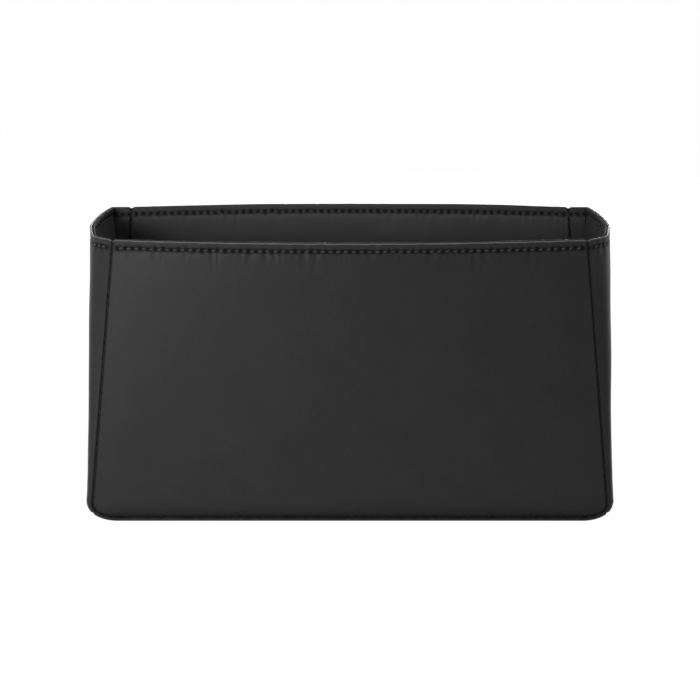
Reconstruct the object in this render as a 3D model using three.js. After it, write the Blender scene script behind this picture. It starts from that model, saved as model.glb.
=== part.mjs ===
// An insert that stands inside a handbag: an open-topped box sewn from two bowed main walls, two end
// gussets that wrap round its corners, and a flat base. Each wall is an outer cloth, a stiffener and a
// lining. Millimetres, +Z up, origin on the floor under the middle of the base, front towards -Y.
import * as THREE from "three";
import { NURBSCurve } from "three/addons/curves/NURBSCurve.js";

// Overall sizes
const BASE_LENGTH = 260;
const BASE_DEPTH = 100;
const HEIGHT = 140;
// Main walls: how far each side seam leans in from foot to rim, along X and along Y, and how far the rim
// bows out between them; each bottom corner is a quarter of an ellipse
const RIM_INSET = 13.2;
const RIM_END_INSET = 9.5;
const RIM_BOW = 8.7;
const PANEL_CORNER_LENGTH = 12;
const PANEL_CORNER_HEIGHT = 7;
// Gussets at the rim: how far the end lies beyond the back seam, how far it stands out beyond the seams
// at most and how that flares towards the rim (1 is a straight line), how far behind the front seam it is,
// how far the soft front corner is drawn in there, and how sharply it bends (1 is a plain parabola)
const RIM_WRAP = 11.2;
const RIM_STANDOUT = 15.6;
const RIM_FLARE = 1.3;
const RIM_FRONT_TURN = 35;
const RIM_SLACK = 0.5;
const RIM_BEND = 4;
const FRONT_TURN_SHARE = 1.43;
const SIDE_CURVE = 2.5;
const BACK_FILLET = 1.8;
// Height of the base's rolled edge, up to the bottom seam
const BASE_ROLL = 2.4;

// Layers of a wall
const CLOTH = 0.5;
const STIFFENER = 1;
const BASE_BOARD = 1.8;
const HEM_DEPTH = 6.5;
const HEM_SLOPE = 0.8;
const HEM_GAP = 0.3;
const LAYER_GAP = 0.3;
const SEAM_GAP = 0.3;
const LEAST_LEG = 0.2;
const LEAST_RADIUS = 0.2;
const CORNER_EASE = 0.9;
const BOARD_INSET = 1.5;
const BASE_CORNER_RADIUS = 4;
const BASE_LINING_INSET = 3;
// Room above the base lining for the inner layers of a wall that leans in
const LEAN_CLEARANCE = 1.2;

// Inner pockets
const POCKET_LENGTH = 200;
const POCKET_FOOT = 8;
const POCKET_HEIGHT = 80;
const POCKET_CLOTH = 0.8;
const POCKET_EASE = 2.5;
const POCKET_MARGIN = 3;

// Sewing thread: how far each row lies below its edge, and where it stops short of a seam
const THREAD = 0.5;
const STITCH_DROP = 3.8;
const THREAD_MARGIN = 2;

// Facets
const PANEL_COLUMNS = 12;
const WALL_ROWS = 3;
const CORNER_STEPS = 4;
const FRONT_STEPS = 5;
const SIDE_STEPS = 5;
const FILLET_STEPS = 3;
const THREAD_SIDES = 6;
const THREAD_STEPS = 24;
const GUSSET_THREAD_STEPS = 64;

// Worked out from the sizes above
const WALL = 2 * CLOTH + 2 * LAYER_GAP + STIFFENER;
const HEM = (WALL - HEM_GAP) / 2;
const FOOT_WRAP = WALL + CORNER_EASE;
const FOOT_HALF = BASE_LENGTH / 2 - FOOT_WRAP;
const RIM_HALF = FOOT_HALF - RIM_INSET;
const CORNER_TOP = BASE_ROLL + PANEL_CORNER_HEIGHT;
const STRAIGHT_HALF = FOOT_HALF - PANEL_CORNER_LENGTH;
const BASE_LINING_FOOT = CLOTH + LAYER_GAP + BASE_BOARD + LAYER_GAP;
const INNER_FOOT = BASE_LINING_FOOT + CLOTH + LEAN_CLEARANCE;
const HEM_FOOT = HEIGHT - HEM_DEPTH;
const STIFFENER_TOP = HEM_FOOT - HEM_SLOPE - LAYER_GAP;
const STITCH_HEIGHT = HEIGHT - STITCH_DROP;
const THREAD_LIFT = LAYER_GAP + THREAD / 2;
const POCKET_TOP = POCKET_FOOT + POCKET_HEIGHT;
const POCKET_HALF = POCKET_LENGTH / 2;
const QUARTER_TURN = Math.PI / 2;
const BASE_SEAM_ANGLE = Math.PI / 6;
const LINING_FOOT_ANGLE = Math.PI / 9;

const satin = { color: 0x1c1c1e, roughness: 0.5, metalness: 0 };
const lining = { color: 0x1a1a1c, roughness: 0.6, metalness: 0 };
const board = { color: 0x4a4a4c, roughness: 0.7, metalness: 0 };
const interlining = { color: 0x2a2a2c, roughness: 0.95, metalness: 0 };
const thread = { color: 0x262628, roughness: 0.7, metalness: 0 };

const { lerp } = THREE.MathUtils;

function steps(from, to, count) {
  return Array.from({ length: count + 1 }, (_, i) => lerp(from, to, i / count));
}

function mesh(name, geometry, finish) {
  const made = new THREE.Mesh(geometry, new THREE.MeshStandardMaterial(finish));
  made.name = name;
  return made;
}

// A closed sheet between two grids of points, each row running left to right as seen from outside and
// the rows going up: the outer face, the face behind it, and the four edges between them.
function sheetGeometry(outerRows, innerRows) {
  const rows = outerRows.length;
  const columns = outerRows[0].length;
  const index = [];
  const outer = (r, c) => r * columns + c;
  const inner = (r, c) => rows * columns + outer(r, c);
  const quad = (a, b, c, d) => index.push(a, b, c, a, c, d);
  for (let r = 0; r < rows - 1; r += 1) {
    for (let c = 0; c < columns - 1; c += 1) {
      quad(outer(r, c), outer(r, c + 1), outer(r + 1, c + 1), outer(r + 1, c));
      quad(inner(r, c), inner(r + 1, c), inner(r + 1, c + 1), inner(r, c + 1));
    }
  }
  const last = columns - 1;
  for (let r = 0; r < rows - 1; r += 1) {
    quad(outer(r, 0), outer(r + 1, 0), inner(r + 1, 0), inner(r, 0));
    quad(outer(r, last), inner(r, last), inner(r + 1, last), outer(r + 1, last));
  }
  const top = rows - 1;
  for (let c = 0; c < last; c += 1) {
    quad(outer(0, c), inner(0, c), inner(0, c + 1), outer(0, c + 1));
    quad(outer(top, c), outer(top, c + 1), inner(top, c + 1), inner(top, c));
  }
  const points = [...outerRows.flat(), ...innerRows.flat()];
  const geometry = new THREE.BufferGeometry().setFromPoints(points);
  geometry.setIndex(index);
  geometry.computeVertexNormals();
  return geometry;
}

// A thread is a thin round bar along a smooth line through its points.
function threadGeometry(points, pathSteps = THREAD_STEPS) {
  const section = new THREE.Shape();
  for (let side = 0; side < THREAD_SIDES; side += 1) {
    const angle = (2 * Math.PI * side) / THREAD_SIDES;
    const corner = [(THREAD / 2) * Math.cos(angle), (THREAD / 2) * Math.sin(angle)];
    if (side === 0) section.moveTo(...corner);
    else section.lineTo(...corner);
  }
  section.closePath();
  const extrudePath = new THREE.CatmullRomCurve3(points, false, "centripetal");
  return new THREE.ExtrudeGeometry(section, { extrudePath, steps: pathSteps, bevelEnabled: false });
}

// Half the length of a main panel at a height, along its straight sides and round its bottom corners.
function sideHalf(z) {
  return lerp(FOOT_HALF, RIM_HALF, (z - CORNER_TOP) / (HEIGHT - CORNER_TOP));
}

function panelHalf(z) {
  if (z >= CORNER_TOP) return sideHalf(z);
  const below = (CORNER_TOP - z) / PANEL_CORNER_HEIGHT;
  return STRAIGHT_HALF + PANEL_CORNER_LENGTH * Math.sqrt(Math.max(1 - below ** 2, 0));
}

// Share of the way up from the bottom seam to the rim
function rise(z) {
  return (z - BASE_ROLL) / (HEIGHT - BASE_ROLL);
}

function endHalfDepth(z) {
  return BASE_DEPTH / 2 - RIM_END_INSET * rise(z);
}

// A point of the front wall, a given depth in from its outer face.
function wallPoint(x, z, depth) {
  const bow = RIM_BOW * rise(z) * (1 - (x / panelHalf(z)) ** 2);
  return new THREE.Vector3(x, -(endHalfDepth(z) + bow - depth), z);
}

function wallRow(half, z, depthAt) {
  return steps(-half, half, PANEL_COLUMNS).map((x) => wallPoint(x, z, depthAt(x, z)));
}

// A layer of the front wall between two depths, over given heights and half-lengths.
function wallLayer(heights, halfAt, outerDepth, innerDepth) {
  const outerRows = heights.map((z) => wallRow(halfAt(z), z, outerDepth));
  const innerRows = heights.map((z) => wallRow(halfAt(z), z, innerDepth));
  return sheetGeometry(outerRows, innerRows);
}

// Cloth is one thickness below the hem and a turned hem above it.
function hemDepth(z) {
  return z > HEM_FOOT - HEM_SLOPE / 2 ? HEM : CLOTH;
}

function clothHeights(foot) {
  const straight = steps(Math.max(foot, CORNER_TOP), HEM_FOOT - HEM_SLOPE, WALL_ROWS);
  return [...straight, HEM_FOOT, HEIGHT];
}

function cornerHeights() {
  return steps(QUARTER_TURN, 0, CORNER_STEPS)
    .slice(0, -1)
    .map((turn) => CORNER_TOP - PANEL_CORNER_HEIGHT * Math.sin(turn));
}

function outerPanel() {
  const heights = [...cornerHeights(), ...clothHeights(BASE_ROLL)];
  return wallLayer(heights, panelHalf, () => 0, (x, z) => hemDepth(z));
}

function liningPanel() {
  const heights = [INNER_FOOT, ...clothHeights(INNER_FOOT)];
  return wallLayer(heights, panelHalf, (x, z) => WALL - hemDepth(z), () => WALL);
}

function panelBoard() {
  const heights = [INNER_FOOT, ...steps(CORNER_TOP, STIFFENER_TOP, WALL_ROWS)];
  const outer = CLOTH + LAYER_GAP;
  return wallLayer(heights, (z) => panelHalf(z) - BOARD_INSET, () => outer, () => outer + STIFFENER);
}

// Each half of a pocket stands off the lining a little, most at its mouth.
function pocketDepth(x, z) {
  const share = Math.min(Math.max((z - POCKET_FOOT) / POCKET_HEIGHT, 0), 1);
  return WALL + LAYER_GAP + POCKET_EASE * share * Math.sin((Math.PI * x) / POCKET_HALF) ** 2;
}

function slipPocket() {
  const heights = steps(POCKET_FOOT, POCKET_TOP, WALL_ROWS);
  return wallLayer(heights, () => POCKET_HALF, pocketDepth, (x, z) => pocketDepth(x, z) + POCKET_CLOTH);
}

function pocketThreadPoint(x, z) {
  return wallPoint(x, z, pocketDepth(x, z) + POCKET_CLOTH + THREAD_LIFT);
}

function pocketHemThread() {
  const half = POCKET_HALF - POCKET_MARGIN - THREAD_MARGIN;
  const z = POCKET_TOP - STITCH_DROP;
  return threadGeometry(steps(-half, half, THREAD_STEPS).map((x) => pocketThreadPoint(x, z)));
}

// Down one side of the pocket, along its foot and up the other side
function pocketSeamThread() {
  const half = POCKET_HALF - POCKET_MARGIN;
  const foot = POCKET_FOOT + POCKET_MARGIN;
  const sides = steps(POCKET_TOP - POCKET_MARGIN, foot + POCKET_MARGIN, WALL_ROWS);
  const down = sides.map((z) => pocketThreadPoint(-half, z));
  const inner = half - POCKET_MARGIN;
  const along = steps(-inner, inner, PANEL_COLUMNS).map((x) => pocketThreadPoint(x, foot));
  const up = sides.toReversed().map((z) => pocketThreadPoint(half, z));
  return threadGeometry([...down, ...along, ...up]);
}

function pocketDividerThread() {
  const top = POCKET_TOP - STITCH_DROP - THREAD_MARGIN;
  const foot = POCKET_FOOT + POCKET_MARGIN + THREAD_MARGIN;
  return threadGeometry(steps(foot, top, WALL_ROWS).map((z) => pocketThreadPoint(0, z)));
}

function panelRimThread(depth) {
  const half = panelHalf(STITCH_HEIGHT) - THREAD_MARGIN;
  return threadGeometry(steps(-half, half, PANEL_COLUMNS).map((x) => wallPoint(x, STITCH_HEIGHT, depth)));
}

// The front wall, with its pocket inside; the back wall is the same turned about Z.
function mainWall(side) {
  const wall = new THREE.Group();
  wall.add(
    mesh(`${side}_outer_panel`, outerPanel(), satin),
    mesh(`${side}_board`, panelBoard(), board),
    mesh(`${side}_lining_panel`, liningPanel(), lining),
    mesh(`${side}_rim_thread`, panelRimThread(-THREAD_LIFT), thread),
    mesh(`${side}_rim_bobbin_thread`, panelRimThread(WALL + THREAD_LIFT), thread),
    mesh(`${side}_slip_pocket`, slipPocket(), lining),
    mesh(`${side}_pocket_hem_thread`, pocketHemThread(), thread),
    mesh(`${side}_pocket_seam_thread`, pocketSeamThread(), thread),
    mesh(`${side}_pocket_divider_thread`, pocketDividerThread(), thread),
  );
  return wall;
}

// Cross-sections of the strip that runs down one end, under the base and up the other. Each starts at
// the front seam, turns out and back to where it stands out most, goes on to the back corner, and comes
// in to the back seam.
function sideSection(z, side) {
  const share = Math.max((z - CORNER_TOP) / (HEIGHT - CORNER_TOP), 0);
  return {
    seam: new THREE.Vector2(side * sideHalf(z), z),
    out: new THREE.Vector2(side, 0),
    wrap: lerp(FOOT_WRAP, RIM_WRAP, share),
    standout: lerp(FOOT_WRAP, RIM_STANDOUT, share ** RIM_FLARE),
    frontTurn: lerp(FRONT_TURN_SHARE * FOOT_WRAP, RIM_FRONT_TURN, share),
    slack: RIM_SLACK * share,
    bend: lerp(1, RIM_BEND, share),
    halfDepth: endHalfDepth(z),
  };
}

function cornerSection(turn, side) {
  const along = new THREE.Vector2(side * Math.cos(turn), -Math.sin(turn));
  const radii = new THREE.Vector2(PANEL_CORNER_LENGTH, PANEL_CORNER_HEIGHT);
  const seam = new THREE.Vector2(side * STRAIGHT_HALF, CORNER_TOP).add(along.clone().multiply(radii));
  const wrap = lerp(BASE_ROLL, FOOT_WRAP, Math.cos(turn) ** 2);
  return {
    seam,
    out: along.divide(radii).normalize(),
    wrap,
    standout: wrap,
    frontTurn: FRONT_TURN_SHARE * wrap,
    slack: 0,
    bend: 1,
    halfDepth: endHalfDepth(seam.y),
  };
}

// The soft front corner at a depth in from the outer face, as distance out from the seam and Y. It is one
// curve of the second degree from the seam to the peak, drawn towards its corner by the corner's weight.
function frontCorner({ standout, frontTurn, slack, bend, halfDepth }, depth) {
  const seam = new THREE.Vector2(0, -halfDepth);
  const peak = new THREE.Vector2(standout, frontTurn - halfDepth);
  const drawnIn = seam.clone().lerp(peak, 0.5);
  const corner = new THREE.Vector2(standout, -halfDepth).lerp(drawnIn, slack);
  const curve = new NURBSCurve(2, [0, 0, 0, 1, 1, 1], [
    new THREE.Vector4(seam.x, seam.y, 0, 1),
    new THREE.Vector4(corner.x, corner.y, 0, bend),
    new THREE.Vector4(peak.x, peak.y, 0, 1),
  ]);
  return steps(0, 1, FRONT_STEPS)
    .slice(1)
    .map((t) => {
      const at = curve.getPoint(t);
      const along = curve.getTangent(t);
      return [at.x - depth * along.y, at.y + depth * along.x];
    });
}

// The points of a section at a depth in from the outer face, as distance out from the seam and Y.
function sectionOutline(section, depth, leastRadius = LEAST_RADIUS) {
  const { wrap, standout, frontTurn, halfDepth } = section;
  const radius = Math.max(Math.min(BACK_FILLET, wrap - SEAM_GAP - LEAST_LEG) - depth, leastRadius);
  const filletOut = wrap - depth - radius;
  const filletY = halfDepth - depth - radius;
  const peakY = frontTurn - halfDepth;
  const side = steps(0, 1, SIDE_STEPS)
    .slice(1, -1)
    .map((share) => [
      lerp(standout, wrap, share ** SIDE_CURVE) - depth,
      lerp(peakY, filletY, share),
    ]);
  const fillet = steps(0, QUARTER_TURN, FILLET_STEPS).map((turn) => [
    filletOut + radius * Math.cos(turn),
    filletY + radius * Math.sin(turn),
  ]);
  const frontSeam = [SEAM_GAP, depth - halfDepth];
  const backSeam = [SEAM_GAP, halfDepth - depth];
  return [frontSeam, ...frontCorner(section, depth), ...side, ...fillet, backSeam];
}

function sectionPoint(section, [out, y]) {
  const at = section.seam.clone().addScaledVector(section.out, out);
  return new THREE.Vector3(at.x, y, at.y);
}

function sectionRow(section, depth) {
  return sectionOutline(section, depth).map((point) => sectionPoint(section, point));
}

function stripLayer(sections, outerDepth, innerDepth) {
  const outerRows = sections.map((section) => sectionRow(section, outerDepth(section.seam.y)));
  const innerRows = sections.map((section) => sectionRow(section, innerDepth(section.seam.y)));
  return sheetGeometry(outerRows, innerRows);
}

// On the left end the sections run from right to left as seen from outside, so the rows go down.
function endLayer(sections, side, outerDepth, innerDepth) {
  return stripLayer(side > 0 ? sections : sections.toReversed(), outerDepth, innerDepth);
}

// Half the gap between gusset and base, as a turn about the corner
const SEAM_TURN = SEAM_GAP / 2 / PANEL_CORNER_HEIGHT;

function cornerSections(fromTurn, side) {
  return steps(fromTurn, 0, CORNER_STEPS)
    .slice(0, -1)
    .map((turn) => cornerSection(turn, side));
}

function sideSections(heights, side) {
  return heights.map((z) => sideSection(z, side));
}

function outerGusset(side) {
  const corner = cornerSections(BASE_SEAM_ANGLE - SEAM_TURN, side);
  return endLayer([...corner, ...sideSections(clothHeights(BASE_ROLL), side)], side, () => 0, hemDepth);
}

function liningGusset(side) {
  const corner = cornerSections(LINING_FOOT_ANGLE, side);
  const sections = [...corner, ...sideSections(clothHeights(INNER_FOOT), side)];
  return endLayer(sections, side, (z) => WALL - hemDepth(z), () => WALL);
}

function gussetInterlining(side) {
  const sections = sideSections(steps(CORNER_TOP, STIFFENER_TOP, WALL_ROWS), side);
  const outer = CLOTH + LAYER_GAP;
  return endLayer(sections, side, () => outer, () => outer + STIFFENER);
}

function gussetRimThread(side, depth) {
  const section = sideSection(STITCH_HEIGHT, side);
  const outline = sectionOutline(section, depth, 2 * THREAD).filter(([out]) => out > THREAD_MARGIN);
  return threadGeometry(outline.map((point) => sectionPoint(section, point)), GUSSET_THREAD_STEPS);
}

// A gusset at the right end or, mirrored, at the left
function endGusset(name, side) {
  const gusset = new THREE.Group();
  gusset.add(
    mesh(`outer_${name}_gusset`, outerGusset(side), satin),
    mesh(`${name}_gusset_interlining`, gussetInterlining(side), interlining),
    mesh(`lining_${name}_gusset`, liningGusset(side), lining),
    mesh(`${name}_rim_thread`, gussetRimThread(side, -THREAD_LIFT), thread),
    mesh(`${name}_rim_bobbin_thread`, gussetRimThread(side, WALL + THREAD_LIFT), thread),
  );
  return gusset;
}

function outerBase() {
  const turns = steps(BASE_SEAM_ANGLE + SEAM_TURN, QUARTER_TURN, CORNER_STEPS);
  const left = turns.map((turn) => cornerSection(turn, -1));
  const right = turns.toReversed().map((turn) => cornerSection(turn, 1));
  return stripLayer([...left, ...right], () => 0, () => CLOTH);
}

function roundedPlate(halfLength, halfDepth, thickness, foot) {
  const outline = new THREE.Shape();
  const x = halfLength - BASE_CORNER_RADIUS;
  const y = halfDepth - BASE_CORNER_RADIUS;
  outline.absarc(x, y, BASE_CORNER_RADIUS, 0, QUARTER_TURN);
  outline.absarc(-x, y, BASE_CORNER_RADIUS, QUARTER_TURN, 2 * QUARTER_TURN);
  outline.absarc(-x, -y, BASE_CORNER_RADIUS, 2 * QUARTER_TURN, 3 * QUARTER_TURN);
  outline.absarc(x, -y, BASE_CORNER_RADIUS, 3 * QUARTER_TURN, 4 * QUARTER_TURN);
  const options = { depth: thickness, bevelEnabled: false, curveSegments: CORNER_STEPS };
  return new THREE.ExtrudeGeometry(outline, options).translate(0, 0, foot);
}

function base() {
  const floor = new THREE.Group();
  const boardHalfDepth = BASE_DEPTH / 2 - BASE_ROLL - LAYER_GAP;
  const liningHalfDepth = BASE_DEPTH / 2 - WALL + CLOTH;
  const boardPlate = roundedPlate(STRAIGHT_HALF, boardHalfDepth, BASE_BOARD, CLOTH + LAYER_GAP);
  const liningHalf = FOOT_HALF - BASE_LINING_INSET;
  const liningPlate = roundedPlate(liningHalf, liningHalfDepth, CLOTH, BASE_LINING_FOOT);
  floor.add(
    mesh("outer_base_panel", outerBase(), satin),
    mesh("base_board", boardPlate, board),
    mesh("lining_base_panel", liningPlate, lining),
  );
  return floor;
}

const frontWall = mainWall("front");
const backWall = mainWall("back");
backWall.rotation.z = Math.PI;

const insert = new THREE.Group();
insert.add(frontWall, backWall, endGusset("right", 1), endGusset("left", -1), base());

export default insert;
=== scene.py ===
"""Looks of a purse organizer insert: black satin cloth sewn over boards, with a topstitched rim.

Metres, +Z up, front towards -Y. Every cloth is a closed thin sheet worked out on a grid: a place on its
wall or gusset, a height, and a depth in from the outer face.
"""

import math

import bpy
import numpy as np
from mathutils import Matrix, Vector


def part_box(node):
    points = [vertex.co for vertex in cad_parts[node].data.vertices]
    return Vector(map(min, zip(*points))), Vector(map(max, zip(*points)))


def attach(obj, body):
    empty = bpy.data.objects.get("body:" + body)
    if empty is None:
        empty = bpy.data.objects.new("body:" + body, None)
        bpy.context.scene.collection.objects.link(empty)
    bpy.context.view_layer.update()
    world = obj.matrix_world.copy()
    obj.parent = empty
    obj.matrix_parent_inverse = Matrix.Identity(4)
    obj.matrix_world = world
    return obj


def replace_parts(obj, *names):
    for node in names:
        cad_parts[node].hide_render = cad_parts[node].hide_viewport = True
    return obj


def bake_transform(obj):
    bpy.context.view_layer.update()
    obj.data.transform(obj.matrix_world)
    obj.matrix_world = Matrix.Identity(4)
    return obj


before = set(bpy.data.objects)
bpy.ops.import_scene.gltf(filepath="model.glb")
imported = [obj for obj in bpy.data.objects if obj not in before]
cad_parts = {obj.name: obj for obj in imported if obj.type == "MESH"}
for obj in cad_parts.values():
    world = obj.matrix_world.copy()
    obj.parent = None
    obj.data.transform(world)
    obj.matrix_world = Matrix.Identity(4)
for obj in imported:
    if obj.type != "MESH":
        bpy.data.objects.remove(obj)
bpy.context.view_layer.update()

MM = 0.001
TINY = 1e-6

# Overall sizes, from the frame
LENGTH = 2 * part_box("outer_right_gusset")[1].x
DEPTH = 2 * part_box("outer_base_panel")[1].y
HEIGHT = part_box("front_outer_panel")[1].z
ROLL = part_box("front_outer_panel")[0].z
FOOT_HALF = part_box("front_outer_panel")[1].x

# Form of the walls and gussets, as the solids have it
RIM_HALF = FOOT_HALF - 13.2 * MM
RIM_END_INSET = 9.5 * MM
RIM_BOW = 8.7 * MM
CORNER_LENGTH = 12 * MM
CORNER_HEIGHT = 7 * MM
FOOT_WRAP = LENGTH / 2 - FOOT_HALF
RIM_WRAP = 11.2 * MM
RIM_STANDOUT = 15.6 * MM
RIM_FLARE = 1.3
RIM_FRONT_TURN = 35 * MM
RIM_SLACK = 0.5
RIM_BEND = 4
FRONT_TURN_SHARE = 1.43
SIDE_CURVE = 2.5
SEAM_EASE = 0.1
BACK_FILLET = 1.8 * MM
LEAST_LEG = 0.5 * MM
LEAST_RADIUS = 0.15 * MM
CORNER_TOP = ROLL + CORNER_HEIGHT
STRAIGHT_HALF = FOOT_HALF - CORNER_LENGTH
BASE_SEAM_TURN = math.pi / 6
LINING_FOOT_TURN = math.pi / 9

# Layers, and the depths of each side of a cloth below its hem and in it
CLOTH = 0.5 * MM
LEAST_CLOTH = 0.3 * MM
BOARD_FACE = 0.8 * MM
BOARD_BACK = 1.8 * MM
WALL = 2.6 * MM
HEM = 1.15 * MM
HEM_DEPTH = 6.5 * MM
HEM_SLOPE = 0.8 * MM
HEM_FADE = 15 * MM
FOLD_TURN = math.radians(78)
INNER_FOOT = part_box("front_lining_panel")[0].z
OUTER_DEPTHS = ((0, 0), (CLOTH, HEM))
LINING_DEPTHS = ((WALL - CLOTH, WALL - HEM), (WALL, WALL))

# Seams; a dip and a painted shade in the seam's groove have a size, a width, an even share and a wander
SEAM_DIP = (1.1 * MM, 0.5 * MM, 0.7, 1.5)
SEAM_SHADE = (0.95, 0.75 * MM, 0.6, 2.0)
SEAM_PUCKER_START = 1.2 * MM
SEAM_PUCKER_REACH = 5 * MM
RIDGE_HEIGHT = 0.14 * MM
RIDGE_PLACE = 1.5 * MM
RIDGE_WIDTH = 1.0 * MM
FOOT_TUCK = 0.9 * MM
FOOT_TUCK_HEIGHT = 1.8 * MM
# Painted shade where a wall's cloth turns under: share and width of each bell
FOOT_SHADES = ((0.45, 5.5 * MM), (0.5, 1.5 * MM))
RIM_NOTCH = 0.7 * MM
RIM_NOTCH_WIDTH = 0.9 * MM

# Rows of stitches, and how they draw the cloth in
STITCH_PITCH = 3.7 * MM
STITCH_DRIFTS = (11 * MM, 4.3 * MM)
HEM_ROW = 3.8 * MM
STITCH_HEIGHT = HEIGHT - HEM_ROW
VALLEY_DEPTH = 0.32 * MM
VALLEY_WIDTH = 1.9 * MM
CHANNEL_DEPTH = 0.28 * MM
CHANNEL_WIDTH = 0.8 * MM
HOLE_DEPTH = 0.3 * MM
HOLE_SHARPNESS = 4
PUCKER_DEPTH = 0.4 * MM
PUCKER_LEAST = 0.35
PUCKER_WANDER = 3.2
PUCKER_REACH_UP = 2.2 * MM
PUCKER_REACH_DOWN = 2.4 * MM
PUCKER_GROWTH = 5 * MM

# Unevenness of each cloth as seed, wave and height, and the measures that all swells share
WALL_SWELL = (3, 95 * MM, 0.5 * MM)
WALL_PUCKER = (11, 9 * MM, 0.3 * MM)
WALL_LINING_SWELL = (23, 60 * MM, 0.6 * MM)
RIM_WAVER = (31, 70 * MM, 0.55 * MM)
GUSSET_SWELL = (41, 60 * MM, 0.6 * MM)
GUSSET_PUCKER = (47, 9 * MM, 0.3 * MM)
GUSSET_LINING_SWELL = (51, 50 * MM, 0.6 * MM)
BASE_LINING_SWELL = (61, 50 * MM, 0.5 * MM)
POCKET_SWELL = (71, 45 * MM, 0.7 * MM)
ROW_UNEVENNESS = (83, 13 * MM, 1.0)
SWELL_WAVES = 6
SWELL_LEAST = 0.6
SWELL_SPAN = 0.9
SWELL_TURN = 7
SWELL_CALM = 7

# Photograph: camera fitted to the seams, rim and base
CAMERA_PLACE = (0.0, -0.882, 0.325)
CAMERA_PITCH = math.radians(15.88)
CAMERA_LENS = 92.83
CAMERA_SENSOR = 36


# Form: where a point of a wall or gusset lies

def rise(z):
    """Share of the way up from the bottom seam to the rim."""
    return (z - ROLL) / (HEIGHT - ROLL)


def side_half(z):
    """Half the panel's length along its straight sides: a straight taper from the corners to the rim."""
    return FOOT_HALF + (RIM_HALF - FOOT_HALF) * (z - CORNER_TOP) / (HEIGHT - CORNER_TOP)


def panel_half(z):
    """As side_half, with a quarter of an ellipse below the top of the bottom corners."""
    below = np.clip((CORNER_TOP - z) / CORNER_HEIGHT, 0, 1)
    corner = STRAIGHT_HALF + CORNER_LENGTH * np.sqrt(1 - below**2)
    return np.where(z >= CORNER_TOP, side_half(z), corner)


def end_half_depth(z):
    """Half the depth between the front and back seams, less towards the rim."""
    return DEPTH / 2 - RIM_END_INSET * rise(z)


def wall_points(x, z, depth):
    """Front wall: a parabola along X whose bow grows with height, moved in by depth."""
    bow = RIM_BOW * rise(z) * (1 - (x / panel_half(z)) ** 2)
    x, y, z = np.broadcast_arrays(x, depth - end_half_depth(z) - bow, z)
    return np.stack([x, y, z], axis=-1)


def seam_distance(x, z):
    """About the distance in from the panel's outline: to its sides and foot, or to a corner's ellipse."""
    over = np.maximum(np.abs(x) - STRAIGHT_HALF, 0)
    below = np.maximum(CORNER_TOP - z, 0)
    straight = np.minimum(panel_half(z) - np.abs(x), z - ROLL)
    reach = np.hypot(over / CORNER_LENGTH, below / CORNER_HEIGHT)
    slope = np.hypot(over / CORNER_LENGTH**2, below / CORNER_HEIGHT**2) / np.maximum(reach, TINY)
    in_corner = (over > 0) & (below > 0)
    return np.maximum(np.where(in_corner, (1 - reach) / np.maximum(slope, TINY), straight), 0)


def strip_section(station):
    """The gusset strip at stations along it: seam point, way out, and the measures of its section.

    A station above 0 is a height up the side; below 0 it is minus the turn round the bottom corner."""
    turn = np.maximum(-station, 0)
    z_side = np.maximum(station, 0)
    on_side = station >= 0
    share = np.maximum((z_side - CORNER_TOP) / (HEIGHT - CORNER_TOP), 0)
    square = np.hypot(np.cos(turn) / CORNER_LENGTH, np.sin(turn) / CORNER_HEIGHT)
    out_x = np.where(on_side, 1.0, np.cos(turn) / CORNER_LENGTH / square)
    out_z = np.where(on_side, 0.0, -np.sin(turn) / CORNER_HEIGHT / square)
    seam_x = np.where(on_side, side_half(z_side), STRAIGHT_HALF + CORNER_LENGTH * np.cos(turn))
    seam_z = np.where(on_side, z_side, CORNER_TOP - CORNER_HEIGHT * np.sin(turn))
    foot_wrap = np.where(on_side, FOOT_WRAP, ROLL + (FOOT_WRAP - ROLL) * np.cos(turn) ** 2)
    wrap = foot_wrap + (RIM_WRAP - FOOT_WRAP) * share
    standout = foot_wrap + (RIM_STANDOUT - FOOT_WRAP) * share**RIM_FLARE
    foot_turn = FRONT_TURN_SHARE * foot_wrap
    front_turn = foot_turn + (RIM_FRONT_TURN - foot_turn) * share
    bend = 1 + (RIM_BEND - 1) * share
    return seam_x, seam_z, out_x, out_z, wrap, standout, front_turn, RIM_SLACK * share, bend


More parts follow.
